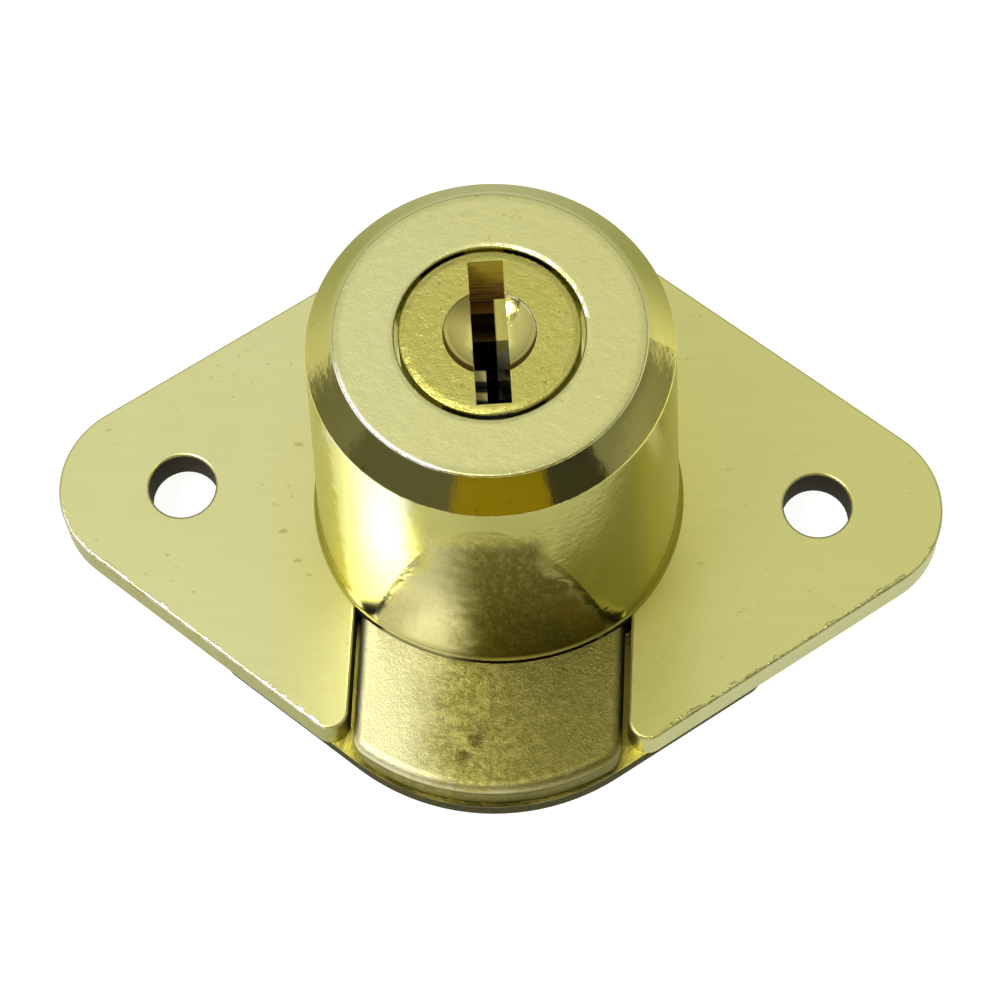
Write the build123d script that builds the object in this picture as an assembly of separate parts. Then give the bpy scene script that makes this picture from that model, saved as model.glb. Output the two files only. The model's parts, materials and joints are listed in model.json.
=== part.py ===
from build123d import *
import os
from math import acos, asin, atan2, cos, hypot, pi, radians, sin, tan

# A cut cupboard lock: a die-cast case with a diamond flange and a round nose, a key
# plug with sprung wafers in the nose, and a bolt that slides under it in the flange.
# All lengths are in millimetres. Z runs up the nose, Y is the way the bolt travels
# (it comes out towards -Y), and the origin is on the nose axis at the lock's back.

# Flange of the case
flange_length = 52.9
flange_width = 37.75
flange_thick = 2.5
lobe_radius = 5.65
vertex_radius = 13.2
flange_edge_round = 0.18

# Screw holes in the flange's lobes
screw_spacing = 38.0
screw_hole_radius = 2.0
screw_rim_round = 0.2

# Nose of the case, above the flange's top face
nose_height = 21.6
nose_rim_radius = 10.0
nose_draft = 0.8
nose_foot = 0.25
nose_foot_height = 0.9
foot_hollow_share = 0.25
nose_chamfer_height = 1.69
nose_chamfer_width = 1.61
nose_edge_round = 0.18

# Slot in the flange for the bolt, and the shallow recess that it runs up the nose
slot_width = 16.3
slot_corner_round = 1.1
recess_cut = 0.6
recess_radius = 12.05
recess_draft_angle = 1.2

# Back plate
plate_thick = 1.4
plate_inset = 0.22
plate_length = 32.0
plate_corner_round = 1.5
plate_edge_round = 0.15

# Rivets that hold the back plate
rivet_radius = 1.0
rivet_head_radius = 1.7
rivet_head_depth = 0.7
rivet_depth = 1.6
rivet_spacing_x = 25.0
rivet_spacing_y = 10.0
rivet_clearance = 0.02

# Bolt
bolt_side_gap = 0.35
bolt_sink = 0.3
bolt_front_inset = 0.45
bolt_corner_round = 1.4
bolt_edge_round = 0.65
bolt_running_gap = 0.05
bolt_rear_gap = 0.1
tail_thick = 1.35
tail_overlap = 2.0
tail_web = 1.45
tail_corner_round = 1.0
channel_gap = 0.12
channel_end_gap = 0.3

# Drive: an off-centre pin at the back of the plug, in a cross slot in the bolt's tail
crank_radius = 3.0
pin_radius = 1.0
pin_foot_gap = 0.1
pin_grip = 2.2
pin_edge_round = 0.12
yoke_gap = 0.06

# Plug
plug_radius = 4.6
plug_clearance = 0.05
head_radius = 4.9
head_thick = 1.6
mouth_gap = 0.22
head_seat_gap = 0.05
head_edge_round = 0.12
plug_rear_gap = 0.1
dimple_radius = 2.53
dimple_depth = 0.85

# Keyway, turned a little from the bolt's line, and its wards
key_turn = 5.9
key_height = 8.5
key_width = 1.9
key_floor = 0.9
ward_thick = 0.62
ward_sink = 1.1
long_ward_height = 2.5
long_ward_low = 0.0
short_ward_height = 0.95
upper_short_ward_low = -2.65
lower_short_ward_low = -3.75

# Wafers and their springs
wafer_count = 6
wafer_pitch = 2.45
wafer_thick = 1.2
wafer_play = 0.05
wafer_half_width = 2.95
wafer_end_gap = 0.1
wafer_travel = 0.55
first_wafer_depth = 4.7
window_height = 6.6
window_width = 2.2
code_step = 0.25
arm_length = 0.9
arm_height = 0.8
arm_low = 0.25
groove_gap = 0.15
spring_wire_radius = 0.08
spring_pocket_radius = 0.48
spring_wall_gap = 0.05
spring_pocket_depth = 2.45
spring_end_gap = 0.03
spring_turns = 6

# Retaining wafer, which stops the plug from being drawn out
retainer_half_width = 1.5
retainer_thick = 1.1
retainer_travel = 0.65
retainer_inner = 1.0
retainer_floor = 0.55
retainer_pocket_end = 1.6
retainer_step_gap = 0.15
rear_land = 1.2

# Cutting tools run past what they cut by this much, and two points nearer than
# same_place count as one
overrun = 1.0
same_place = 0.01

# Heights and sizes that follow from the values above
flange_bottom = plate_thick
flange_top = flange_bottom + flange_thick
face_height = flange_top + nose_height
chamfer_low = face_height - nose_chamfer_height
face_radius = nose_rim_radius - nose_chamfer_width
base_radius = nose_rim_radius + nose_draft
foot_radius = base_radius + nose_foot

recess_front = foot_radius - recess_cut
recess_centre = recess_radius - recess_front

bolt_width = slot_width - 2 * bolt_side_gap
bolt_bottom = flange_bottom + bolt_running_gap
bolt_top = flange_top - bolt_sink
bolt_front = flange_width / 2 - bolt_front_inset

# The bolt follows the pin's sweep in equal steps of turn, so the cross slot is wider
# than the pin by the most that the true sweep runs ahead of it
lag_turn = asin(2 / pi)
lag_share = cos(lag_turn) - (1 - 2 * lag_turn / pi)
yoke_half_width = pin_radius + crank_radius * lag_share + yoke_gap
yoke_half_length = crank_radius + pin_radius + yoke_gap
tail_half_width = yoke_half_length + tail_web
tail_end = crank_radius + yoke_half_width + tail_web
channel_half_width = tail_half_width + channel_gap
channel_end = tail_end + channel_end_gap
channel_roof = bolt_bottom + tail_thick + channel_gap

plug_rear = channel_roof + plug_rear_gap
head_bottom = face_height - head_thick
bore_radius = plug_radius + plug_clearance
mouth_radius = head_radius + mouth_gap
mouth_floor = head_bottom - head_seat_gap

retainer_low = plug_rear + retainer_floor + wafer_play
retainer_high = retainer_low + retainer_thick
wafer_end_radius = plug_radius - wafer_end_gap
retainer_reach = wafer_end_radius + retainer_travel
step_radius = retainer_reach + retainer_step_gap
step_top = retainer_high + wafer_play
groove_low = step_top + rear_land
groove_half_height = wafer_end_radius + wafer_travel + groove_gap
groove_half_width = wafer_half_width + groove_gap
key_bottom = step_top + key_floor

wafer_top = face_height - first_wafer_depth
wafer_lows = [wafer_top - wafer_thick - i * wafer_pitch for i in range(wafer_count)]
code_steps = [1, -1, 0, -1, 1, 0]
spring_lane = wafer_half_width + arm_length / 2


def tube_between(radius, low, high):
    """An upright cylinder on the nose axis from one height to another."""
    return Pos(0, 0, (low + high) / 2) * Cylinder(radius, high - low)


def block(x_low, x_high, y_low, y_high, z_low, z_high):
    """A box given by its two corners."""
    middle = Pos((x_low + x_high) / 2, (y_low + y_high) / 2, (z_low + z_high) / 2)
    return middle * Box(x_high - x_low, y_high - y_low, z_high - z_low)


def arc_through(start, middle, end):
    return ThreePointArc(start, middle, end).edge()


def diamond(inset):
    """The flange's outline, drawn in by an inset: two lobes and two broad corners."""
    lobe = lobe_radius - inset
    vertex = vertex_radius - inset
    lobe_x = flange_length / 2 - lobe_radius
    vertex_y = flange_width / 2 - vertex_radius
    span = hypot(lobe_x, vertex_y)
    lean = acos((vertex - lobe) / span) - atan2(vertex_y, lobe_x)
    lx, ly = lobe_x + lobe * cos(lean), lobe * sin(lean)
    vx, vy = vertex * cos(lean), vertex_y + vertex * sin(lean)
    tip_x, tip_y = lobe_x + lobe, vertex_y + vertex
    edges = [
        arc_through((lx, -ly), (tip_x, 0), (lx, ly)),
        Line((lx, ly), (vx, vy)).edge(),
        arc_through((vx, vy), (0, tip_y), (-vx, vy)),
        Line((-vx, vy), (-lx, ly)).edge(),
        arc_through((-lx, ly), (-tip_x, 0), (-lx, -ly)),
        Line((-lx, -ly), (-vx, -vy)).edge(),
        arc_through((-vx, -vy), (0, -tip_y), (vx, -vy)),
        Line((vx, -vy), (lx, -ly)).edge(),
    ]
    return Sketch() + make_face(edges)


def recess_radius_at(height):
    return recess_radius - (height - flange_top) * tan(radians(recess_draft_angle))


def flange():
    """The flange with the bolt's slot in its near side, rounded at the slot's mouth."""
    reach = flange_width
    opening = Pos(0, -reach / 2) * Rectangle(slot_width + 2 * slot_corner_round, reach)
    sides = offset(diamond(slot_corner_round) - opening, slot_corner_round)
    keep = Pos(0, recess_centre) * Circle(recess_radius_at(flange_bottom))
    outline = sides + (keep & diamond(0))
    body = Pos(0, 0, flange_bottom) * extrude(outline, flange_thick)
    top = body.faces().sort_by(Axis.Z)[-1]
    clear = foot_radius + flange_edge_round
    rim = [e for e in top.outer_wire().edges() if hypot(*tuple(e.center())[:2]) > clear]
    return fillet(rim, flange_edge_round)


def nose():
    """The round nose: tapered wall, small foot, chamfered rim."""
    foot_top = flange_top + nose_foot_height
    wall_share = nose_foot_height / (chamfer_low - flange_top)
    foot_end = base_radius - nose_draft * wall_share
    hollow = (foot_radius + foot_end) / 2 - nose_foot * foot_hollow_share
    hollow_point = (hollow, (flange_top + foot_top) / 2)
    profile = [
        Line((0, flange_bottom), (foot_radius, flange_bottom)),
        Line((foot_radius, flange_bottom), (foot_radius, flange_top)),
        ThreePointArc((foot_radius, flange_top), hollow_point, (foot_end, foot_top)),
        Line((foot_end, foot_top), (nose_rim_radius, chamfer_low)),
        Line((nose_rim_radius, chamfer_low), (face_radius, face_height)),
        Line((face_radius, face_height), (0, face_height)),
        Line((0, face_height), (0, flange_bottom)),
    ]
    section = Plane.XZ * make_face([e for line in profile for e in line.edges()])
    body = revolve(section, Axis.Z)
    circles = body.edges().filter_by(GeomType.CIRCLE)
    body = fillet(circles.filter_by_position(Axis.Z, chamfer_low, face_height), nose_edge_round)
    high = face_height + overrun
    low = flange_bottom - overrun
    keep = Cone(recess_radius_at(low), recess_radius_at(high), high - low)
    slot = block(-slot_width / 2, slot_width / 2, -flange_width, 0, low, high)
    return body - (slot - Pos(0, recess_centre, (low + high) / 2) * keep)


def key_turned(shape):
    """Turns what was built on the keyway's own axes into its place in the lock."""
    return Rot(0, 0, key_turn) * shape


def plug_space():
    """What the case leaves out for the plug: mouth, bore, wafer grooves and rear step."""
    mouth = tube_between(mouth_radius, mouth_floor, face_height + overrun)
    bore = tube_between(bore_radius, flange_bottom - overrun, face_height)
    step = tube_between(step_radius, flange_bottom - overrun, step_top)
    u, v = groove_half_width, groove_half_height
    groove = key_turned(block(-u, u, -v, v, groove_low, mouth_floor + overrun / 2))
    return mouth + bore + step + groove


def rivet_places():
    return [(x * rivet_spacing_x / 2, y * rivet_spacing_y / 2) for x in (-1, 1) for y in (-1, 1)]


def case():
    body = flange() + nose()
    body -= plug_space()
    c = channel_half_width
    body -= block(-c, c, -flange_width, channel_end, flange_bottom - overrun, channel_roof)
    for side in (-1, 1):
        hole = tube_between(screw_hole_radius, flange_bottom - overrun, flange_top + overrun)
        body -= Pos(side * screw_spacing / 2, 0, 0) * hole
    for x, y in rivet_places():
        body -= Pos(x, y, 0) * rivet(rivet_clearance)
    circles = body.edges().filter_by(GeomType.CIRCLE)
    screw_rims = [e for e in circles if abs(e.radius - screw_hole_radius) < same_place]
    body = fillet([e for e in screw_rims if abs(e.center().X) > nose_rim_radius], screw_rim_round)
    circles = body.edges().filter_by(GeomType.CIRCLE)
    mouth_rim = circles.filter_by_position(Axis.Z, face_height, face_height).sort_by(SortBy.RADIUS)[0]
    return fillet(mouth_rim, head_edge_round)


def back_plate():
    """The plate behind the flange, cut short of the screw holes."""
    window = Rectangle(plate_length, flange_width)
    outline = diamond(plate_inset) & window
    ends = [v for v in outline.vertices() if abs(abs(v.X) - plate_length / 2) < same_place]
    outline = fillet(ends, plate_corner_round)
    body = extrude(outline, plate_thick)
    bottom = body.faces().sort_by(Axis.Z)[0]
    body = fillet(bottom.outer_wire().edges(), plate_edge_round)
    for x, y in rivet_places():
        body -= Pos(x, y, 0) * rivet(rivet_clearance)
    return body


def rivet(swell):
    """One flush rivet, or with a swell the hole that it sits in."""
    shank_top = flange_bottom + rivet_depth
    shank = tube_between(rivet_radius + swell, -swell, shank_top)
    head = Cone(rivet_head_radius + swell, rivet_radius + swell, rivet_head_depth)
    return shank + Pos(0, 0, rivet_head_depth / 2) * head


def plate_rivets():
    return Compound([Pos(x, y, 0) * rivet(0).solids()[0] for x, y in rivet_places()])


def bolt():
    """Thick head in the flange's slot, and a thin tail under the nose with its cross slot."""
    reach = bolt_front + overrun
    head = Pos(0, -reach / 2) * Rectangle(bolt_width, reach)
    head &= Pos(0, vertex_radius - bolt_front) * Circle(vertex_radius)
    head -= Pos(0, recess_centre) * Circle(recess_radius_at(flange_bottom) + bolt_rear_gap)
    front = [v for v in head.vertices() if v.Y < -recess_front]
    head = fillet(front, bolt_corner_round)
    body = Pos(0, 0, bolt_bottom) * extrude(head, bolt_top - bolt_bottom)
    top = body.faces().sort_by(Axis.Z)[-1]
    rim = [e for e in top.edges() if not is_rear_arc(e)]
    body = fillet(rim, bolt_edge_round)
    w = tail_half_width
    tail = block(-w, w, -recess_front - tail_overlap, tail_end, bolt_bottom, bolt_bottom + tail_thick)
    tail = fillet(tail.edges().filter_by(Axis.Z).group_by(Axis.Y)[-1], tail_corner_round)
    u, v = yoke_half_length, yoke_half_width
    yoke = block(-u, u, crank_radius - v, crank_radius + v, 0, channel_roof)
    return body + tail - yoke


def is_rear_arc(edge):
    """Tells the bolt head's rear edge, which stays sharp, from its rounded ones."""
    middle = edge @ 0.5
    return abs(middle.X) < bolt_side_gap and middle.Y > -recess_front - tail_overlap


def wafer_side(index):
    """Springs sit on alternate sides of the plug."""
    return 1 if index % 2 == 0 else -1


def wafer_space(index):
    """The slot that one wafer slides in, with the room for its arm and spring."""
    low = wafer_lows[index] - wafer_play
    high = low + wafer_thick + 2 * wafer_play
    half = wafer_half_width + wafer_play
    reach = plug_radius + overrun
    slot = block(-half, half, -reach, reach, low, high)
    arm = block(0, half + arm_length + wafer_play, arm_low - wafer_end_gap, reach, low, high)
    pocket = Pos(spring_lane, arm_low, (low + high) / 2) * spring_pocket(spring_pocket_depth)
    arm_side = arm + pocket
    if wafer_side(index) < 0:
        arm_side = mirror(arm_side, Plane.YZ)
    return slot + arm_side


def spring_pocket(depth):
    """A round pocket that runs from the origin towards -Y."""
    return Pos(0, -depth / 2, 0) * Rot(90, 0, 0) * Cylinder(spring_pocket_radius, depth)


def ward(side, low, height):
    """One rib on a wall of the keyway, a little below the plug's face."""
    wall = key_width / 2
    inner, outer = wall - ward_thick, wall + plug_clearance
    x_low, x_high = (inner, outer) if side > 0 else (-outer, -inner)
    return block(x_low, x_high, low, low + height, key_bottom, face_height - ward_sink)


def retainer_space():
    low, high = retainer_low - wafer_play, retainer_high + wafer_play
    half = retainer_half_width + wafer_play
    inner = retainer_inner - retainer_travel - wafer_play
    slot = block(-half, half, -plug_radius - overrun, -inner, low, high)
    pocket = Pos(0, retainer_pocket_end, (low + high) / 2) * spring_pocket(retainer_pocket_end + inner)
    return slot + pocket


def pin_place():
    """The drive pin stands at the bolt's drawn-back dead centre."""
    return Pos(0, crank_radius, 0)


def plug():
    head = tube_between(head_radius, head_bottom, face_height)
    head = fillet(head.edges().sort_by(Axis.Z)[-1], head_edge_round)
    body = head + tube_between(plug_radius, plug_rear, head_bottom + overrun / 2)
    ball_radius = (dimple_radius**2 + dimple_depth**2) / (2 * dimple_depth)
    body -= Pos(0, 0, face_height - dimple_depth + ball_radius) * Sphere(ball_radius)
    u, v = key_width / 2, key_height / 2
    body -= block(-u, u, -v, v, key_bottom, face_height + overrun)
    body += ward(1, long_ward_low, long_ward_height)
    body += ward(-1, upper_short_ward_low, short_ward_height)
    body += ward(-1, lower_short_ward_low, short_ward_height)
    for index in range(wafer_count):
        body -= wafer_space(index)
    body = key_turned(body - retainer_space())
    return body - pin_place() * tube_between(pin_radius, 0, plug_rear + pin_grip)


def drive_pin():
    pin = tube_between(pin_radius, flange_bottom + pin_foot_gap, plug_rear + pin_grip)
    return pin_place() * fillet(pin.edges().sort_by(Axis.Z)[0], pin_edge_round)


def wafer(index):
    """A flat plate with ends on the plug's round, a window for the key and one spring arm."""
    side = wafer_side(index)
    plate = Rectangle(2 * wafer_half_width, 2 * plug_radius) & Circle(wafer_end_radius)
    arm_middle = Pos(side * (wafer_half_width + arm_length) / 2, arm_low + arm_height / 2)
    plate += arm_middle * Rectangle(wafer_half_width + arm_length, arm_height)
    plate -= Pos(0, code_steps[index % len(code_steps)] * code_step) * Rectangle(window_width, window_height)
    return key_turned(Pos(0, 0, wafer_lows[index]) * extrude(plate, wafer_thick))


def retaining_wafer():
    half = retainer_half_width
    plate = Pos(0, -retainer_reach / 2) * Rectangle(2 * half, retainer_reach)
    plate &= Pos(0, -retainer_travel) * Circle(wafer_end_radius)
    plate -= Rectangle(2 * half, 2 * retainer_inner)
    return key_turned(Pos(0, 0, retainer_low) * extrude(plate, retainer_thick))


def coil(length):
    """A spring that runs from the origin towards +Y."""
    radius = spring_pocket_radius - spring_wall_gap - spring_wire_radius
    height = length - 2 * (spring_wire_radius + spring_end_gap)
    line = Helix(height / spring_turns, height, radius)
    section = Plane(line @ 0, z_dir=line % 0) * Circle(spring_wire_radius)
    wire = sweep(section, path=line, is_frenet=True)
    return Rot(-90, 0, 0) * Pos(0, 0, spring_wire_radius + spring_end_gap) * wire


def wafer_spring(index):
    middle = wafer_lows[index] + wafer_thick / 2
    lane = wafer_side(index) * spring_lane
    return key_turned(Pos(lane, arm_low - spring_pocket_depth, middle) * coil(spring_pocket_depth))


def retaining_spring():
    middle = (retainer_low + retainer_high) / 2
    return key_turned(Pos(0, -retainer_inner, middle) * coil(retainer_inner + retainer_pocket_end))


def main():
    nodes = {
        "case": case(),
        "back_plate": back_plate(),
        "plate_rivets": plate_rivets(),
        "bolt": bolt(),
        "plug": plug(),
        "drive_pin": drive_pin(),
        "retaining_wafer": retaining_wafer(),
        "retaining_spring": retaining_spring(),
    }
    for index in range(wafer_count):
        nodes[f"wafer_{index + 1}"] = wafer(index)
        nodes[f"wafer_spring_{index + 1}"] = wafer_spring(index)
    os.makedirs("parts", exist_ok=True)
    for name, shape in nodes.items():
        export_step(shape, f"parts/{name}.step")


main()
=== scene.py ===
import json
import math

import bmesh
import bpy
from mathutils import Matrix, Vector


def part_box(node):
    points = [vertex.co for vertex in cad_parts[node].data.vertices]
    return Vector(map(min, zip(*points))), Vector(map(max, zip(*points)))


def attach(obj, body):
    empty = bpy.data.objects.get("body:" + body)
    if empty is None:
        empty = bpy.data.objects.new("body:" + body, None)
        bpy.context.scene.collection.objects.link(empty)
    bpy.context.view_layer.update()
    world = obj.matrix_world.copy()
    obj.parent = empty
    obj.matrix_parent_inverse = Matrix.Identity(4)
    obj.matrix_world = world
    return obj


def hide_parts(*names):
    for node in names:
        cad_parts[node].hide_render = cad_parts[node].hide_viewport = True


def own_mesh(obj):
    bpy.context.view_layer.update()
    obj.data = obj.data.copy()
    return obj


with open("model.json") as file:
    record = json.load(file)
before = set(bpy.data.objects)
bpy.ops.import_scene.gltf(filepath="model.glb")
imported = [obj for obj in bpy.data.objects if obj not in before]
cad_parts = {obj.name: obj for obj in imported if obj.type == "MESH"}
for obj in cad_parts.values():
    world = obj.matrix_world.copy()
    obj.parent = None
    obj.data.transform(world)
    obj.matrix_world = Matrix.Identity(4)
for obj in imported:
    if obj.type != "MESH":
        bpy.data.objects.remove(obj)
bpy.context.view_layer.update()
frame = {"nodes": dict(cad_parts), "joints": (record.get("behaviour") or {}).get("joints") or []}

# A brass-plated cupboard lock, seen from above its nose. The nose stands up along Z, the
# screw holes lie along X, and the bolt comes out towards -Y. Lengths are in metres.
MM = 0.001
nodes = frame["nodes"]

# Sizes taken from the frame, and the few that its boxes don't give
case_low, case_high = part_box("case")
plate_low, plate_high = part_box("back_plate")
bolt_low, bolt_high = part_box("bolt")
FLANGE_THICK = 2.5 * MM
CHAMFER_HEIGHT = 1.69 * MM
CHAMFER_WIDTH = 1.61 * MM
NOSE_RIM = 10.0 * MM
flange_top = case_low.z + FLANGE_THICK
face_height = case_high.z
chamfer_low = face_height - CHAMFER_HEIGHT
face_radius = NOSE_RIM - CHAMFER_WIDTH

# The nose's wall: its radius at the flange, and how much it narrows as it rises
BASE_RADIUS = 10.8 * MM
DRAFT_SHARE = 0.8 / 19.91

# The flange's straight sides and lobes, for wear along its edges, and its openings
SIDE_NORMAL_X = 0.585
SIDE_NORMAL_Y = 0.811
SIDE_REACH = 17.81 * MM
LOBE_X = 20.8 * MM
LOBE_RADIUS = 5.65 * MM
SLOT_HALF = 8.15 * MM
SLOT_REAR = -7 * MM
SCREW_X = 19.0 * MM
HOLE_RADIUS = 2.06 * MM

# The mouth in the nose's face, and the plug's head, thumb dimple and key slot in it
MOUTH_RADIUS = 5.3 * MM
HEAD_ROLL = 4.65 * MM
DIMPLE_RADIUS = 2.6 * MM
DIMPLE_RISE = 0.42 * MM
KEY_HALF = 0.97 * MM
KEY_TURN_COS = 0.995
KEY_TURN_SIN = 0.103

# How close the retaining spring's loose corners lie, to be merged
MERGE_REACH = 0.0005 * MM

# The camera, where the photograph was taken from
CAMERA_AZIMUTH = 5.295
CAMERA_ELEVATION = 66.267
CAMERA_ROLL = 3.099
CAMERA_DISTANCE = 179.302 * MM
CAMERA_AIM_RIGHT = 0.084 * MM
CAMERA_AIM_DOWN = 0.258 * MM
CAMERA_LENS = 108.0

# The studio: azimuth and elevation in degrees, then distance, width and height. Lamps end
# in a brightness, and cards, which are seen only in the metal, in a colour.
STUDIO_MIDDLE = Vector((0, 0, 15 * MM))
LAMPS = (
    ("rear_softbox", 185, 66, 0.8, 0.9, 0.7, 0.3),
    ("left_softbox", -60, 61, 0.7, 0.15, 0.3, 22.0),
)
CARDS = (
    ("camera_card", 8, 56, 0.5, 0.22, 0.2, (0.03, 0.03, 0.03)),
    ("dark_card_left", -34, 22, 0.5, 0.68, 0.36, (0.19, 0.19, 0.19)),
    ("dark_card_right", 32, 22, 0.5, 0.45, 0.36, (0.05, 0.05, 0.05)),
    ("gold_card", 6.5, 22, 0.42, 0.33, 0.3, (0.46, 0.34, 0.0)),
)
FLOOR_SIZE = 1.6
FLOOR_COLOUR = (0.25, 0.25, 0.25)
FLOOR_GLOW = 0.9
SHEET_ROUGHNESS = 0.9
WHITE = (1, 1, 1)
WORLD_LOW = 0.22
WORLD_RISE = 0.45

# How deep a bump of height 1 is
RELIEF = 0.02 * MM
FINE_RELIEF = 0.01 * MM

# Colours of the plating, as linear light
PALE = (0.65, 0.64, 0.295)
PALE_GOLD = (0.59, 0.575, 0.20)
PALE_SHADED = (0.52, 0.50, 0.20)
PALE_FACE = (0.76, 0.75, 0.35)
WALL_GOLD = (0.66, 0.60, 0.13)
OLIVE = (0.36, 0.32, 0.07)
WORN = (0.92, 0.90, 0.66)
# A painted glint, on the flange's near left edge and on the face's lower left rim
EDGE_GLINT = (1.0, 0.99, 0.9)
BROWN = (0.26, 0.17, 0.02)
DIRT = (0.07, 0.055, 0.015)
EDGE_TINT = (0.87, 0.87, 0.68)

# The case's chamfer, sides and wall
RIM_GOLD = (0.50, 0.46, 0.13)
# Painted reflection on the chamfer's right, and painted shade on its back
RIM_RIGHT_REFLECTION = (0.80, 0.73, 0.19)
RIM_BACK_SHADE = (0.22, 0.22, 0.045)
# Painted shade along the rim between the face and the chamfer
RIM_SHADE = (0.42, 0.41, 0.16)
MOUTH_GLINT = (1.0, 0.99, 0.85)
SIDE_LEFT = (0.26, 0.25, 0.06)
SIDE_RIGHT = (0.42, 0.42, 0.19)
# Painted shade on the walls of the screw holes and of the bolt's slot
OPENING_SHADE = (0.022, 0.018, 0.004)
# Painted shade at the foot and on the right of the nose's wall, and a painted highlight in an
# upright band up it
WALL_FOOT_SHADE = (0.30, 0.25, 0.04)
WALL_HIGHLIGHT = (1.0, 0.98, 0.86)
WALL_RIGHT_SHADE = (0.46, 0.41, 0.05)
# Painted shade on the nose's smooth front, above the bolt
NOSE_FRONT_SHADE_LEFT = (0.35, 0.34, 0.115)
NOSE_FRONT_SHADE_RIGHT = (0.30, 0.29, 0.09)

# The recess up the nose, with its painted light and shade, and the flange's stains
RECESS_SMOOTH = (0.60, 0.57, 0.21)
# Painted light on the recess's left, and painted shade on its right and at its foot
PORE_LIT = (1.0, 0.94, 0.48)
PORE_LIT_HIGH = (0.45, 0.42, 0.17)
PORE_SHADE = (0.115, 0.10, 0.016)
PORE_CREST = (0.30, 0.27, 0.07)
PORE_FOOT_SHADE = (0.10, 0.08, 0.015)
SLOT_STAIN = (0.50, 0.47, 0.13)
NOSE_STAIN = (0.60, 0.56, 0.14)

# The bolt
BOLT_LIGHT = (0.42, 0.38, 0.10)
BOLT_DARK = (0.23, 0.205, 0.045)
# Painted shade on the bolt's right, and a painted highlight on its left
BOLT_RIGHT_SHADE = (0.16, 0.14, 0.03)
BOLT_LEFT_HIGHLIGHT = (0.74, 0.71, 0.41)
BOLT_SPARK = (0.65, 0.62, 0.25)
# A painted highlight along the bolt's rolled front edge
BOLT_EDGE_HIGHLIGHT = (0.80, 0.78, 0.50)
# Painted shade on the bolt's front face, darker to its right
BOLT_FRONT_DARK = (0.13, 0.115, 0.025)
BOLT_FRONT_LIGHT = (0.26, 0.235, 0.06)
BOLT_FRONT_RIGHT_SHADE = (0.08, 0.07, 0.015)
# Painted shade in a line under the bolt's front edge
BOLT_CREASE_SHADE = (0.05, 0.042, 0.01)

# The back plate
PLATE_DARK = (0.09, 0.08, 0.016)
PLATE_LIGHT = (0.24, 0.21, 0.04)
# Painted highlights on the plate's top out past the slot's corners
PLATE_HIGHLIGHT = (0.74, 0.64, 0.12)
PLATE_SHADOW = (0.09, 0.075, 0.015)
CUT_DARK = (0.03, 0.027, 0.006)
CUT_LIGHT = (0.09, 0.08, 0.018)

# The plug's face, and the painted light and shade of its dimple
PLUG_GOLD = (0.49, 0.455, 0.10)
PLUG_LIGHT = (0.57, 0.53, 0.16)
DIMPLE_LEFT = (0.66, 0.59, 0.16)
DIMPLE_RIGHT = (0.76, 0.70, 0.22)
DIMPLE_SHADE = (0.24, 0.21, 0.06)
DIMPLE_WEDGE_SHADE = (0.10, 0.095, 0.03)
DIMPLE_CRESCENT_SHADE = (0.18, 0.10, 0.012)
DIMPLE_RIM_HIGHLIGHT = (1.0, 0.88, 0.25)
DIMPLE_GLINT = (1.0, 0.97, 0.75)

# The walls of the key slot, with painted light, shade and glints
KEY_LIT_GOLD = (0.74, 0.57, 0.11)
KEY_BROWN = (0.46, 0.22, 0.06)
KEY_MOUTH_LIT = (0.62, 0.50, 0.05)
KEY_MIDDLE_LIT = (0.50, 0.48, 0.28)
KEY_SHADE = (0.06, 0.05, 0.03)
KEY_DARK = (0.012, 0.012, 0.008)
KEY_SPARK = (0.42, 0.37, 0.12)
WARD_SIDE_SHADE = (0.26, 0.17, 0.03)
WARD_TOP_LIT = (0.42, 0.41, 0.09)
WARD_LAYER = (0.45, 0.30, 0.08)

# The plain metals inside
PIN_STEEL = (0.55, 0.55, 0.56)
WAFER_BRASS = (0.45, 0.30, 0.08)
SPRING_STEEL = (0.5, 0.5, 0.5)

# Brown marks on the flange's top: their places and how far they reach, in millimetres
BROWN_MARKS = (
    (-12.7, -2.7, 0.26),
    (-11.7, -4.6, 0.22),
    (-11.0, -5.5, 0.16),
    (-12.2, 3.0, 0.28),
    (-19.5, -4.5, 0.12),
)


class Wire:
    """A shader socket that can stand in a sum."""

    def __init__(self, graph, socket):
        self.graph = graph
        self.socket = socket

    def maths(self, operation, *others):
        return self.graph.maths(operation, self, *others)

    def __add__(self, other):
        return self.maths("ADD", other)

    def __sub__(self, other):
        return self.maths("SUBTRACT", other)

    def __mul__(self, other):
        return self.maths("MULTIPLY", other)

    def __truediv__(self, other):
        return self.maths("DIVIDE", other)

    def __rsub__(self, other):
        return self.graph.maths("SUBTRACT", other, self)

    __radd__ = __add__
    __rmul__ = __mul__

    def size(self):
        return self.maths("ABSOLUTE")

    def most(self, other):
        return self.maths("MAXIMUM", other)

    def above(self, edge, width):
        """0 below the edge and 1 above it, with a smooth step of that width."""
        limits = {"Value": self, "From Min": edge - width / 2, "From Max": edge + width / 2}
        smooth = {"interpolation_type": "SMOOTHSTEP"}
        return self.graph.wire("ShaderNodeMapRange", smooth, limits, "Result")

    def below(self, edge, width):
        return 1 - self.above(edge, width)

    def within(self, edge, width):
        """1 on both sides of zero as far as the edge, with smooth steps of that width."""
        return self.size().below(edge, width)


def span(across, along):
    """The straight distance over two lengths at right angles."""
    return (across * across + along * along).maths("SQRT")


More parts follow.
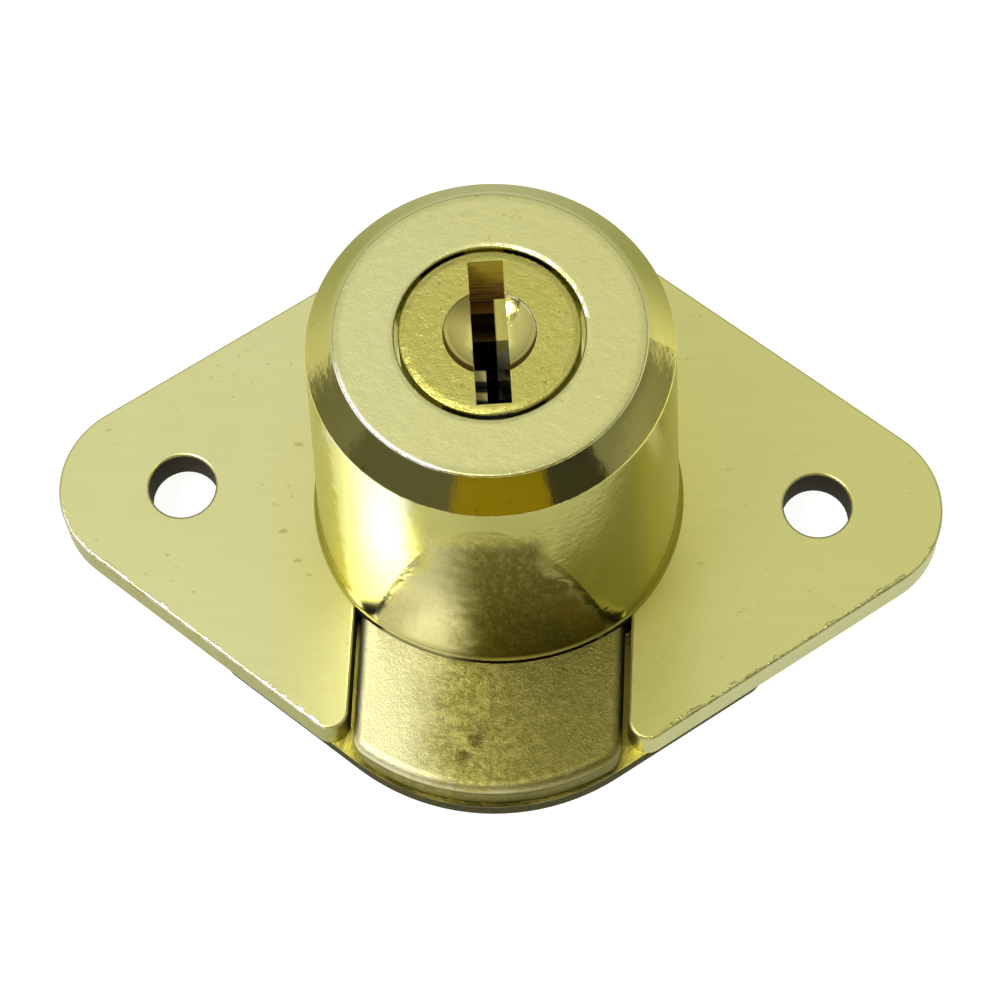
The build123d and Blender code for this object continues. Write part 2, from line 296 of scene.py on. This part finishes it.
class Graph:
    """A node tree under construction, a material's or the world's."""

    def __init__(self, tree):
        self.tree = tree

    def feed(self, socket, value):
        """Links a wire to a socket, or sets the socket's own value."""
        if isinstance(value, Wire):
            self.tree.links.new(value.socket, socket)
        elif socket.type == "RGBA":
            socket.default_value = (*value, 1)
        else:
            socket.default_value = value

    def node(self, kind, settings, values):
        """Adds a node: its settings come first, then what its sockets hold."""
        made = self.tree.nodes.new(kind)
        for key, value in settings.items():
            setattr(made, key, value)
        for key, value in values.items():
            self.feed(made.inputs[key], value)
        return made

    def wire(self, kind, settings, values, out=0):
        return Wire(self, self.node(kind, settings, values).outputs[out])

    def maths(self, operation, *values):
        return self.wire("ShaderNodeMath", {"operation": operation}, dict(enumerate(values)))


class Finish(Graph):
    """A material under construction: its shader, the place on the piece, and its colour."""

    def __init__(self, name, colour=WHITE):
        self.material = bpy.data.materials.new(name)
        self.material.use_nodes = True
        super().__init__(self.material.node_tree)
        self.shader = self.tree.nodes["Principled BSDF"]
        self.colour = colour
        self.place = self.wire("ShaderNodeTexCoord", {}, {}, "Object")
        split = self.node("ShaderNodeSeparateXYZ", {}, {"Vector": self.place})
        self.x, self.y, self.z = (Wire(self, split.outputs[axis]) for axis in "XYZ")
        self.radius = span(self.x, self.y)

    def noise(self, size, detail=3.0, rough=0.5, stretch=(1, 1, 1)):
        """Smooth noise from 0 to 1 with features of about that size, longer by a stretch."""
        scale = [1 / share for share in stretch]
        place = self.wire("ShaderNodeMapping", {}, {"Vector": self.place, "Scale": scale})
        values = {"Vector": place, "Scale": 1 / size, "Detail": detail, "Roughness": rough}
        return self.wire("ShaderNodeTexNoise", {}, values)

    def blend(self, share, first, second):
        """A colour between two, by a share from 0 to 1."""
        values = {"Factor": share, 6: first, 7: second}
        return self.wire("ShaderNodeMix", {"data_type": "RGBA"}, values, 2)

    def lay(self, share, tone):
        """Lays a tone over the colour so far."""
        self.colour = self.blend(share, self.colour, tone)

    def bump(self, height, depth=RELIEF):
        return self.wire("ShaderNodeBump", {}, {"Height": height, "Distance": depth})

    def set(self, **values):
        for key, value in values.items():
            self.feed(self.shader.inputs[key.replace("_", " ")], value)
        return self.material


class CaseZones:
    """Which of the case's surfaces a place is on, each as a share from 0 to 1."""

    def __init__(self, f):
        z, r = f.z, f.radius
        outside_face = r.above(face_radius + 0.05 * MM, 0.1 * MM)
        self.chamfer = z.above(chamfer_low, 0.1 * MM) * outside_face
        self.face = z.above(face_height - 0.12 * MM, 0.1 * MM) * (1 - self.chamfer)
        flange_low = z.above(flange_top - 0.12 * MM, 0.08 * MM)
        self.top = flange_low * z.below(flange_top + 0.3 * MM, 0.2 * MM)

        # The recess lies deeper than the nose's wall, over the bolt
        self.depth = BASE_RADIUS - (z - flange_top) * DRAFT_SHARE - r
        over_bolt = f.y.below(SLOT_REAR, 0.4 * MM) * f.x.within(SLOT_HALF - 0.1 * MM, 0.1 * MM)
        sunk = self.depth.above(0.05 * MM, 0.05 * MM) * r.above(9.5 * MM, 0.2 * MM)
        self.recess = sunk * z.below(chamfer_low - 1 * MM, 1 * MM) * over_bolt
        nose = z.above(flange_top + 0.2 * MM, 0.3 * MM) * z.below(chamfer_low, 0.1 * MM)
        self.wall = nose.most(self.recess)
        self.round_wall = self.wall * (1 - self.recess)

        # The flange's sides, and the walls of its screw holes and of the bolt's slot
        self.side = z.below(flange_top - 0.1 * MM, 0.1 * MM) * (1 - self.recess)
        hole = span(f.x.size() - SCREW_X, f.y).below(HOLE_RADIUS, 0.1 * MM)
        slot = f.x.within(SLOT_HALF + 0.1 * MM, 0.1 * MM) * f.y.below(SLOT_REAR, 0.3 * MM)
        self.openings = (hole * self.side).most(slot * self.side)


class CasePatterns:
    """The patterns that the case's finish is mixed from."""

    def __init__(self, f):
        self.cloud = f.noise(7 * MM, 4, 0.55)
        self.fine_cloud = f.noise(1.1 * MM, 4, 0.6)
        self.grain = f.noise(0.13 * MM, 4, 0.65)
        self.coarse = f.noise(0.32 * MM, 4, 0.7)
        self.dashes = f.noise(0.8 * MM, 3, 0.7)
        self.peel = f.noise(0.55 * MM, 2, 0.5)
        self.brushed = f.noise(0.16 * MM, 3, 0.6, stretch=(22, 1, 1))
        self.long_brushed = f.noise(0.5 * MM, 3, 0.5, stretch=(30, 1, 1))
        self.upright = f.noise(0.32 * MM, 4, 0.7, stretch=(1, 1, 2.4))


def edge_distance(f):
    """How far a place lies inside the flange's outline."""
    across = f.x.size()
    side = SIDE_REACH - (across * SIDE_NORMAL_X + f.y.size() * SIDE_NORMAL_Y)
    lobe = LOBE_RADIUS - span(across - LOBE_X, f.y)
    share = across.above(LOBE_X + 2 * MM, 1 * MM)
    return side * (1 - share) + lobe * share


def lay_plating(f, zone, mix):
    """The plating's tone on each surface of the case, with a painted reflection and painted
    shade on the chamfer, and painted shade in the walls of the openings.
    """
    f.colour = f.blend(f.x.above(-2 * MM, 26 * MM), PALE, PALE_GOLD)
    f.lay(mix.cloud.above(0.55, 0.3) * 0.25, PALE_GOLD)
    brushing = (mix.brushed * 0.6 + mix.long_brushed * 0.6).above(0.6, 0.4)
    f.lay(brushing * zone.top * 0.16, PALE_SHADED)
    f.lay((mix.peel * 0.5 + mix.grain * 0.5).above(0.5, 0.3) * zone.face * 0.4, PALE_SHADED)
    f.lay(zone.face * 0.25, PALE_FACE)
    f.lay(zone.wall, WALL_GOLD)
    # The chamfer, with a painted reflection on its right and painted shade on its back
    rim_tone = f.blend(f.x.above(7.4 * MM, 2 * MM), RIM_GOLD, RIM_RIGHT_REFLECTION)
    f.lay(zone.chamfer, f.blend(f.y.above(1 * MM, 9 * MM), rim_tone, RIM_BACK_SHADE))
    side_tone = f.blend(f.x.above(0, 20 * MM), SIDE_LEFT, SIDE_RIGHT)
    flecks = f.noise(0.3 * MM, 3, 0.6, stretch=(4, 4, 1)).above(0.58, 0.3)
    f.lay(zone.side, f.blend(flecks * 0.12, side_tone, WORN))
    # Painted shade in the walls of the screw holes and the slot
    f.lay(zone.openings, OPENING_SHADE)


def lay_wall(f, zone, mix):
    """The nose's wall: painted shade at its foot, a painted highlight in an upright band, and
    painted shade on its right side.
    """
    # Painted shade at the wall's foot
    wall_foot_shade = f.z.below(flange_top + 1.0 * MM, 0.9 * MM) * zone.round_wall
    f.lay(wall_foot_shade * 0.6, WALL_FOOT_SHADE)
    # A painted highlight in a ragged upright band at the wall's near left
    waver = (mix.fine_cloud - 0.5) * 1.6 * MM + (mix.coarse - 0.5) * 0.7 * MM
    highlight_band = (f.x + waver + 6.1 * MM).within(2.4 * MM, 0.5 * MM)
    f.lay(zone.round_wall * highlight_band * f.y.below(0, 2 * MM) * 0.9, WALL_HIGHLIGHT)
    # Painted shade on the wall's right side
    right_shade = zone.wall * f.x.above(4 * MM, 4 * MM) * f.y.below(2 * MM, 4 * MM)
    f.lay(right_shade * 0.7, WALL_RIGHT_SHADE)


def lay_recess(f, zone, mix):
    """The recess: porous casting that spreads a little past its top, with painted light at its
    left and painted shade at its right and foot.

    Returns the porous part, and the part of it that is lit."""
    from_middle = f.x - 1 * MM
    arch = from_middle * from_middle * -0.06 / MM + 20.8 * MM + (mix.upright - 0.5) * 5 * MM
    ahead = (f.x - 0.1 * MM).within(3.3 * MM, 1.8 * MM) * f.y.below(SLOT_REAR, 1 * MM)
    porous = zone.recess.most(zone.wall * ahead) * (arch - f.z).above(0, 3.2 * MM)
    # Painted shade over the porous casting's right side, and painted light over its left, dimmer
    # higher up
    shaded_side = (f.x + (mix.fine_cloud - 0.5) * 2.0 * MM).above(-1.6 * MM, 3.2 * MM)
    lit_tone = f.blend(f.z.above(12 * MM, 8 * MM), PORE_LIT, PORE_LIT_HIGH)
    tone = f.blend(shaded_side, lit_tone, PORE_SHADE)
    tone = f.blend(mix.upright.above(0.55, 0.2) * shaded_side * 0.5, tone, PORE_CREST)
    # Painted shade at the foot of the recess
    foot_shade = f.z.below(flange_top + 0.7 * MM, 1.0 * MM) * (0.3 + shaded_side * 0.6)
    tone = f.blend(foot_shade, tone, PORE_FOOT_SHADE)
    f.lay(zone.recess, RECESS_SMOOTH)
    worn_crests = mix.upright.above(0.58, 0.12) * f.z.above(13 * MM, 3 * MM)
    f.lay(zone.recess * worn_crests * 0.15, WORN)
    f.lay(porous, tone)
    # Painted shade in a brown line along the recess's lower edge
    low = f.z.below(11 * MM, 5 * MM) * f.z.above(flange_top + 0.5 * MM, 0.4 * MM)
    recess_edge_shade = zone.recess * zone.depth.below(0.16 * MM, 0.1 * MM) * low
    f.lay(recess_edge_shade * (0.2 + mix.coarse * 0.6), BROWN)
    smooth = zone.wall * (1 - zone.recess.most(porous))
    # Painted shade on the nose's smooth front, above the bolt, a little lighter at its left
    front_shade = smooth * f.y.below(-6 * MM, 2 * MM) * f.x.above(-4.2 * MM, 1.2 * MM)
    f.lay(front_shade * 0.85, f.blend(f.x.above(-1 * MM, 5 * MM), NOSE_FRONT_SHADE_LEFT, NOSE_FRONT_SHADE_RIGHT))
    return porous, porous * (1 - shaded_side)


def lay_stains(f, zone, mix):
    """Yellow stains and bright specks near the slot and the nose, and brown marks.

    Returns the part beside the slot."""
    near_slot = f.x.size().below(SLOT_HALF + 3.2 * MM, 4 * MM) * f.y.below(-4 * MM, 5 * MM)
    beside = zone.top * near_slot
    stained = f.x.above(-1 * MM, 4 * MM) * 0.6 + 0.4
    f.lay(beside * (0.3 + mix.fine_cloud * 0.6) * stained, SLOT_STAIN)
    near_nose = (f.radius + (mix.cloud - 0.5) * 3 * MM).below(13.4 * MM, 2.6 * MM)
    f.lay(zone.top * near_nose * (0.3 + mix.fine_cloud * 0.4) * stained, NOSE_STAIN)
    specks = mix.grain.above(0.64, 0.06) * mix.coarse.above(0.5, 0.1) * beside
    f.lay(specks * 0.6, WORN)

    blotches = f.noise(0.42 * MM, 3, 0.6, stretch=(1.6, 1, 1))
    clustered = f.noise(5 * MM, 2).above(0.56, 0.12)
    pits = blotches.above(0.74, 0.07).most(blotches.above(0.68, 0.07) * clustered)
    for mark_x, mark_y, reach in BROWN_MARKS:
        across = f.x - mark_x * MM + (mix.coarse - 0.5) * 0.5 * MM
        along = (f.y - mark_y * MM + (mix.fine_cloud - 0.5) * 0.3 * MM) * 1.8
        mark = span(across, along).below(reach * MM, reach * MM)
        pits = pits.most(mark * zone.top * mix.coarse.above(0.36, 0.2))
    f.lay(pits * zone.top.most(zone.face) * 0.4, BROWN)
    return beside


def lay_wear(f, zone, mix):
    """Chipped edges of the flange with painted glints along their left part, and on the nose's
    rims a painted highlight, painted shade and a painted glint.

    Returns the chipped part."""
    # Chips of dirt and wear along the flange's near edges, with painted glints along their left
    # part
    rough_line = (mix.coarse - 0.5) * 0.3 * MM - mix.dashes.above(0.56, 0.1) * 0.16 * MM
    at_edge = (edge_distance(f) + rough_line).below(0.14 * MM, 0.12 * MM)
    chip = zone.top * at_edge * f.y.below(-2 * MM, 6 * MM)
    leftward = f.x.below(0, 6 * MM)
    chip_tone = f.blend(mix.coarse.above(0.56, 0.1), DIRT, WORN)
    chip_share = chip * (0.3 + leftward * 0.5) * mix.dashes.above(0.46, 0.14)
    f.lay(chip_share, f.blend(leftward, chip_tone, EDGE_GLINT))

    # A painted highlight along the face's lower left rim
    from_rim = f.radius - face_radius
    lower_left = (f.x * 0.7 + f.y * 0.7).below(-7.2 * MM, 1.2 * MM)
    face_rim_glint = from_rim.within(0.12 * MM, 0.12 * MM) * f.z.above(face_height - 0.3 * MM, 0.2 * MM)
    f.lay(face_rim_glint * lower_left * mix.coarse.above(0.42, 0.15) * 0.9, EDGE_GLINT)
    # Painted shade along the rest of that rim
    rim_shade = from_rim.within(0.35 * MM, 0.5 * MM) * f.z.above(face_height - 0.4 * MM, 0.2 * MM)
    f.lay(rim_shade * (1 - lower_left) * 0.45, RIM_SHADE)
    upper_right = (f.x * 0.6 + f.y * 0.8).above(3.6 * MM, 0.8 * MM)
    lip = (f.radius - MOUTH_RADIUS + 0.04 * MM).within(0.1 * MM, 0.08 * MM)
    f.lay(zone.face * lip * upper_right * mix.dashes.above(0.5, 0.06), MOUTH_GLINT)
    spots = f.noise(0.6 * MM, 3, 0.6).above(0.66, 0.06)
    outer = f.radius.above(face_radius + 0.9 * MM, 0.5 * MM)
    f.lay(zone.chamfer * spots * outer * 0.35, BROWN)
    return chip


def plated_case():
    f = Finish("plated_case")
    zone = CaseZones(f)
    mix = CasePatterns(f)
    lay_plating(f, zone, mix)
    lay_wall(f, zone, mix)
    porous, lit = lay_recess(f, zone, mix)
    beside = lay_stains(f, zone, mix)
    chip = lay_wear(f, zone, mix)
    rough = (
        zone.top * (0.25 + mix.brushed * 0.12)
        + zone.face * (0.25 + mix.fine_cloud * 0.1)
        + zone.chamfer * (0.06 + mix.fine_cloud * 0.1)
        + zone.wall * (0.13 + mix.fine_cloud * 0.12)
        + porous * 0.2
        + zone.side * 0.3
        + beside * 0.08
    )
    mouth_dip = f.radius.below(MOUTH_RADIUS, 0.35 * MM) * 2.5
    height = (
        zone.top * (mix.brushed * 0.14 + mix.long_brushed * 0.12 + mix.grain * 0.3)
        + zone.face * (mix.peel * 1.6 + mix.grain * 1.2 - mouth_dip)
        + zone.chamfer * (mix.peel * 0.45 + mix.grain * 0.1)
        + zone.wall * (mix.peel + mix.coarse * 0.5)
        + zone.recess * (mix.upright * 3.0 + mix.grain)
        + zone.side * mix.coarse * 2.0
        + chip * mix.coarse * 2.5
    )
    return f.set(
        Base_Color=f.colour,
        Metallic=1 - zone.openings - lit * 0.8,
        Roughness=rough * (1 - zone.openings) + zone.openings * 0.9,
        Specular_Tint=EDGE_TINT,
        Normal=f.bump(height),
    )


def plated_bolt():
    f = Finish("plated_bolt")
    grain = f.noise(0.11 * MM, 4, 0.7)
    coarse = f.noise(0.4 * MM, 5, 0.7)
    cloud = f.noise(3 * MM, 4, 0.6)
    mottle = f.noise(0.75 * MM, 5, 0.7)

    # The mottled top, with painted shade at its right and a painted highlight at its left, and
    # painted highlights along the rolled front edge
    f.colour = f.blend((coarse * 0.7 + mottle * 0.35).above(0.52, 0.16), BOLT_LIGHT, BOLT_DARK)
    f.lay((f.x + (cloud - 0.5) * 4 * MM).above(1.0 * MM, 7 * MM) * 0.75, BOLT_RIGHT_SHADE)
    f.lay(grain.above(0.62, 0.1) * coarse.above(0.5, 0.2) * 0.5, BOLT_SPARK)
    leftward = (f.x + (cloud - 0.5) * 3 * MM).below(-3.6 * MM, 4.5 * MM)
    f.lay(leftward * (0.6 + coarse * 0.5), BOLT_LEFT_HIGHLIGHT)
    front_face = f.z.below(bolt_high.z - 0.5 * MM, 0.25 * MM)
    rolled = f.z.below(bolt_high.z - 0.12 * MM, 0.25 * MM) * (1 - front_face)
    # Painted highlights along the rolled front edge, mostly at its left
    edge_highlight = rolled * (coarse + cloud * 0.8).above(0.82, 0.3) * f.x.below(2 * MM, 12 * MM)
    f.lay(edge_highlight * (0.3 + grain * 0.7), BOLT_EDGE_HIGHLIGHT)

    # The front face in painted shade, darker to its right, and a painted shade line under its
    # edge
    front_shade_tone = f.blend(coarse.above(0.5, 0.3), BOLT_FRONT_DARK, BOLT_FRONT_LIGHT)
    front_right_shade = f.x.above(-1 * MM, 8 * MM) * 0.6
    f.lay(front_face, f.blend(front_right_shade, front_shade_tone, BOLT_FRONT_RIGHT_SHADE))
    f.lay((f.z - bolt_high.z + 0.62 * MM).within(0.06 * MM, 0.1 * MM) * 0.7, BOLT_CREASE_SHADE)

    # One dark diagonal scratch, broken in its middle
    along = f.x * 0.5 + f.y * 0.866 + 14.0 * MM
    across = f.x * 0.866 - f.y * 0.5 - 7.05 * MM
    line = (across + (coarse - 0.5) * 0.9 * MM).within(0.3 * MM, 0.6 * MM)
    gap = (along + 0.15 * MM).size().above(0.25 * MM, 0.4 * MM)
    scratch = along.within(1.3 * MM, 1.2 * MM) * line * gap
    f.lay(scratch * (0.45 + coarse * 0.5), DIRT)
    return f.set(
        Base_Color=f.colour,
        Metallic=1.0,
        Roughness=0.3 + coarse * 0.16,
        Specular_Tint=EDGE_TINT,
        Normal=f.bump(grain * 1.6 + coarse * 1.8 + mottle * 1.6 - scratch * 2),
    )


def plated_plate():
    f = Finish("plated_plate")
    cloud = f.noise(2.2 * MM, 4, 0.6)
    coarse = f.noise(0.3 * MM, 4, 0.7)
    top = f.z.above(plate_high.z - 0.1 * MM, 0.1 * MM)
    f.colour = f.blend(cloud.above(0.5, 0.3), PLATE_DARK, PLATE_LIGHT)
    # Painted highlights out past the slot's corners
    f.lay(f.x.size().above(7.6 * MM, 1 * MM) * 0.8, PLATE_HIGHLIGHT)
    ahead = f.y.below(-18.5 * MM, 0.1 * MM) * (f.x - 1 * MM).within(5.5 * MM, 3 * MM)
    f.lay(ahead * (0.5 + coarse * 0.5), PLATE_SHADOW)
    cut_edge = f.blend(coarse.above(0.55, 0.3), CUT_DARK, CUT_LIGHT)
    return f.set(
        Base_Color=f.blend(top, cut_edge, f.colour),
        Metallic=0.85 + top * 0.15,
        Roughness=0.24 + coarse * 0.2 + (1 - top) * 0.35,
        Specular_Tint=EDGE_TINT,
        Normal=f.bump(coarse * 2.5 + cloud * 3),
    )


def dimple_tone(f, coarse):
    """The thumb dimple's painted reflections: a lighter right, painted shade at its upper left
    and in a wedge, a brown crescent of painted shade in its lower rim, and a painted highlight
    line and glints on its rim.
    """
    tone = f.blend(f.x.above(-1.0 * MM, 2 * MM), DIMPLE_LEFT, DIMPLE_RIGHT)
    upper_left = f.y.above(1.1 * MM, 1.6 * MM) * f.x.below(0, 1 * MM)
    tone = f.blend(upper_left * 0.9, tone, DIMPLE_SHADE)
    beside_wedge = f.x - 1.2 * MM - (f.y - 1.6 * MM) * 0.35
    wedge_shade = beside_wedge.within(0.3 * MM, 0.3 * MM) * f.y.above(1.1 * MM, 0.5 * MM)
    tone = f.blend(wedge_shade * 0.9, tone, DIMPLE_WEDGE_SHADE)
    inner = span(f.x, f.y - DIMPLE_RISE)
    low_half = f.y.below(0.3 * MM, 1.2 * MM)
    tone = f.blend(inner.above(2.42 * MM, 0.12 * MM) * low_half * 0.9, tone, DIMPLE_CRESCENT_SHADE)
    line = (inner - 2.38 * MM).within(0.1 * MM, 0.08 * MM) * f.y.above(-2.2 * MM, 0.4 * MM)
    tone = f.blend(line * low_half, tone, DIMPLE_RIM_HIGHLIGHT)
    right = f.x.above(0.9 * MM, 0.4 * MM) * f.y.above(0, 0.8 * MM)
    glint = f.radius.above(2.42 * MM, 0.06 * MM) * right * coarse.above(0.48, 0.08)
    return f.blend(glint, tone, DIMPLE_GLINT)


def key_slot_tone(f, slot_x):
    """The key slot's painted light and shade: a lit far wall in layers of gold and brown,
    brightest near the mouth, a ward with a lit top and a shaded side, and darkness below with
    painted glints.

    Returns the tone, and the part of the slot that is in darkness."""
    layers = f.noise(0.16 * MM, 3, 0.7, stretch=(14, 14, 1)).above(0.5, 0.14)
    shallow = f.z.above(face_height - 2.2 * MM, 1.4 * MM)
    tone = f.blend(shallow, f.blend(layers, KEY_LIT_GOLD, KEY_BROWN), KEY_MOUTH_LIT)
    right_half = slot_x.above(0.1 * MM, 0.05 * MM)
    ward_tone = f.blend(slot_x.above(0.38 * MM, 0.12 * MM), WARD_SIDE_SHADE, WARD_TOP_LIT)
    ward_tone = f.blend(layers * 0.15, ward_tone, WARD_LAYER)
    middle_tone = f.blend(f.y.above(0.6 * MM, 1.6 * MM), KEY_MIDDLE_LIT, KEY_SHADE)
    ward = right_half * f.z.above(face_height - 2.4 * MM, 0.3 * MM)
    middle_tone = f.blend(ward, middle_tone, ward_tone)
    tone = f.blend(f.y.below(2.7 * MM, 0.1 * MM), tone, middle_tone)
    under_ward = right_half * f.y.below(-0.04 * MM, 0.05 * MM)
    darkness = f.y.below(-0.7 * MM, 0.3 * MM).most(under_ward)
    upper_spark = (f.y + 2.1 * MM).within(0.3 * MM, 0.16 * MM)
    lower_spark = (f.y + 3.3 * MM).within(0.22 * MM, 0.16 * MM)
    spark = darkness * slot_x.below(-0.3 * MM, 0.1 * MM) * upper_spark.most(lower_spark)
    return f.blend(darkness, tone, f.blend(spark, KEY_DARK, KEY_SPARK)), darkness


def plated_plug():
    f = Finish("plated_plug")
    cloud = f.noise(1.4 * MM, 4, 0.6)
    grain = f.noise(0.11 * MM, 4, 0.65)
    coarse = f.noise(0.3 * MM, 4, 0.7)
    peel = f.noise(0.45 * MM, 2, 0.5)
    slot_x = f.x * KEY_TURN_COS + f.y * KEY_TURN_SIN
    slot = slot_x.within(KEY_HALF, 0.02 * MM) * f.z.below(face_height - 0.06 * MM, 0.06 * MM)
    sunk = f.z.below(face_height - 0.02 * MM, 0.02 * MM) * (1 - slot)
    dimple = sunk * f.radius.below(DIMPLE_RADIUS, 0.05 * MM)
    f.colour = f.blend(cloud * 0.6, PLUG_GOLD, PLUG_LIGHT)
    f.lay(grain.above(0.55, 0.2) * 0.25, OLIVE)
    marks = coarse.above(0.66, 0.05) * f.noise(1.6 * MM, 2).above(0.46, 0.2)
    f.lay(marks * 0.5, BROWN)
    f.lay(dimple, dimple_tone(f, coarse))
    slot_tone, darkness = key_slot_tone(f, slot_x)
    f.lay(slot, slot_tone)
    seen = f.z.above(face_height - 6 * MM, 3 * MM) * (1 - darkness)
    head_roll = f.radius.above(HEAD_ROLL, 0.5 * MM)
    relief = (peel * 2.5 + grain * 1.4 - marks) * (1 - dimple * 0.85) - head_roll * 4
    return f.set(
        Base_Color=f.colour,
        Metallic=1 - slot * (seen * 0.8 + darkness * 0.85),
        Roughness=0.26 + cloud * 0.08 - dimple * 0.18 + slot * (0.4 + darkness * 0.3),
        Specular_Tint=EDGE_TINT,
        Normal=f.bump(relief),
    )


def plain_metal(name, colour, rough):
    """Steel or brass of the pieces inside, a little clouded."""
    f = Finish(name, colour)
    grain = f.noise(0.1 * MM, 3, 0.6)
    f.lay(f.noise(1.5 * MM, 3) * 0.6, tuple(part * 0.7 for part in colour))
    return f.set(
        Base_Color=f.colour,
        Metallic=1.0,
        Roughness=rough + grain * 0.1,
        Normal=f.bump(grain, FINE_RELIEF),
    )


def dress(name, material):
    data = nodes[name].data
    data.materials.clear()
    data.materials.append(material)


def dress_all():
    dress("case", plated_case())
    dress("bolt", plated_bolt())
    dress("back_plate", plated_plate())
    dress("plug", plated_plug())
    dress("plate_rivets", plain_metal("rivet_metal", OLIVE, 0.3))
    dress("drive_pin", plain_metal("pin_steel", PIN_STEEL, 0.2))
    wafer_brass = plain_metal("wafer_brass", WAFER_BRASS, 0.3)
    spring_wire = plain_metal("spring_wire", SPRING_STEEL, 0.3)
    for name in nodes:
        if "spring" in name:
            dress(name, spring_wire)
        elif "wafer" in name:
            dress(name, wafer_brass)


def add_retaining_coil():
    """The retaining spring, with its loose corners merged, carried by the plug."""
    coil = nodes["retaining_spring"].data.copy()
    merged = bmesh.new()
    merged.from_mesh(coil)
    bmesh.ops.remove_doubles(merged, verts=merged.verts, dist=MERGE_REACH)
    merged.to_mesh(coil)
    merged.free()
    piece = bpy.data.objects.new("retaining_coil", coil)
    bpy.context.scene.collection.objects.link(piece)
    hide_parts("retaining_spring")
    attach(piece, "plug")
    press = next(j for j in frame["joints"] if j["name"] == "retainer_press")
    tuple(press["axis"])
    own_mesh(piece)


def way_towards(azimuth, elevation):
    """The direction out from the lock: azimuth goes from -Y towards +X, in degrees."""
    a, e = math.radians(azimuth), math.radians(elevation)
    return Vector((math.sin(a) * math.cos(e), -math.cos(a) * math.cos(e), math.sin(e)))


def add_camera():
    back = way_towards(CAMERA_AZIMUTH, CAMERA_ELEVATION)
    azimuth, roll = math.radians(CAMERA_AZIMUTH), math.radians(CAMERA_ROLL)
    flat_right = Vector((math.cos(azimuth), math.sin(azimuth), 0))
    flat_up = back.cross(flat_right)
    right = flat_right * math.cos(roll) - flat_up * math.sin(roll)
    up = flat_right * math.sin(roll) + flat_up * math.cos(roll)
    aim = Vector((0, 0, flange_top)) + right * CAMERA_AIM_RIGHT - up * CAMERA_AIM_DOWN
    data = bpy.data.cameras.new("camera")
    data.lens = CAMERA_LENS
    data.clip_start = 10 * MM
    data.clip_end = 10.0
    camera = bpy.data.objects.new("camera", data)
    turn = Matrix((right, up, back)).transposed().to_4x4()
    camera.matrix_world = Matrix.Translation(aim + back * CAMERA_DISTANCE) @ turn
    bpy.context.scene.collection.objects.link(camera)
    bpy.context.scene.camera = camera


def add_sheet(name, width, depth, place, facing, colour, glow=0.0):
    """A flat sheet of the studio: its floor, or a card that the metal mirrors."""
    mesh = bpy.data.meshes.new(name)
    corners = ((-1, -1), (1, -1), (1, 1), (-1, 1))
    points = [(x * width / 2, y * depth / 2, 0) for x, y in corners]
    mesh.from_pydata(points, [], [(0, 1, 2, 3)])
    sheet = bpy.data.objects.new(name, mesh)
    sheet.location = place
    sheet.rotation_euler = Vector(facing).to_track_quat("Z", "Y").to_euler()
    bpy.context.scene.collection.objects.link(sheet)
    f = Finish(name)
    f.set(Base_Color=colour, Roughness=SHEET_ROUGHNESS)
    if glow:
        f.set(Emission_Color=WHITE, Emission_Strength=glow)
    mesh.materials.append(f.material)
    return sheet


def add_card(name, azimuth, elevation, distance, width, height, colour):
    way = way_towards(azimuth, elevation)
    card = add_sheet(name, width, height, way * distance + STUDIO_MIDDLE, -way, colour)
    card.visible_camera = False
    card.visible_shadow = False
    card.visible_diffuse = False


def add_lamp(name, azimuth, elevation, distance, width, height, brightness):
    way = way_towards(azimuth, elevation)
    data = bpy.data.lights.new(name, "AREA")
    data.shape = "RECTANGLE"
    data.size, data.size_y = width, height
    data.energy = brightness * math.pi * width * height
    lamp = bpy.data.objects.new(name, data)
    lamp.location = way * distance + STUDIO_MIDDLE
    lamp.rotation_euler = (-way).to_track_quat("-Z", "Y").to_euler()
    lamp.visible_camera = False
    bpy.context.scene.collection.objects.link(lamp)


def add_world():
    """A plain white sky, brighter overhead than near the floor."""
    world = bpy.data.worlds.new("studio")
    world.use_nodes = True
    sky = Graph(world.node_tree)
    place = sky.wire("ShaderNodeTexCoord", {}, {}, "Generated")
    height = sky.wire("ShaderNodeSeparateXYZ", {}, {"Vector": place}, "Z")
    background = sky.tree.nodes["Background"]
    sky.feed(background.inputs["Color"], WHITE)
    sky.feed(background.inputs["Strength"], height.above(0.35, 0.9) * WORLD_RISE + WORLD_LOW)
    bpy.context.scene.world = world


add_camera()
add_sheet("floor", FLOOR_SIZE, FLOOR_SIZE, (0, 0, 0), (0, 0, 1), FLOOR_COLOUR, FLOOR_GLOW)
add_world()
for lamp in LAMPS:
    add_lamp(*lamp)
for card in CARDS:
    add_card(*card)
bpy.context.scene.view_settings.view_transform = "Standard"
dress_all()
add_retaining_coil()
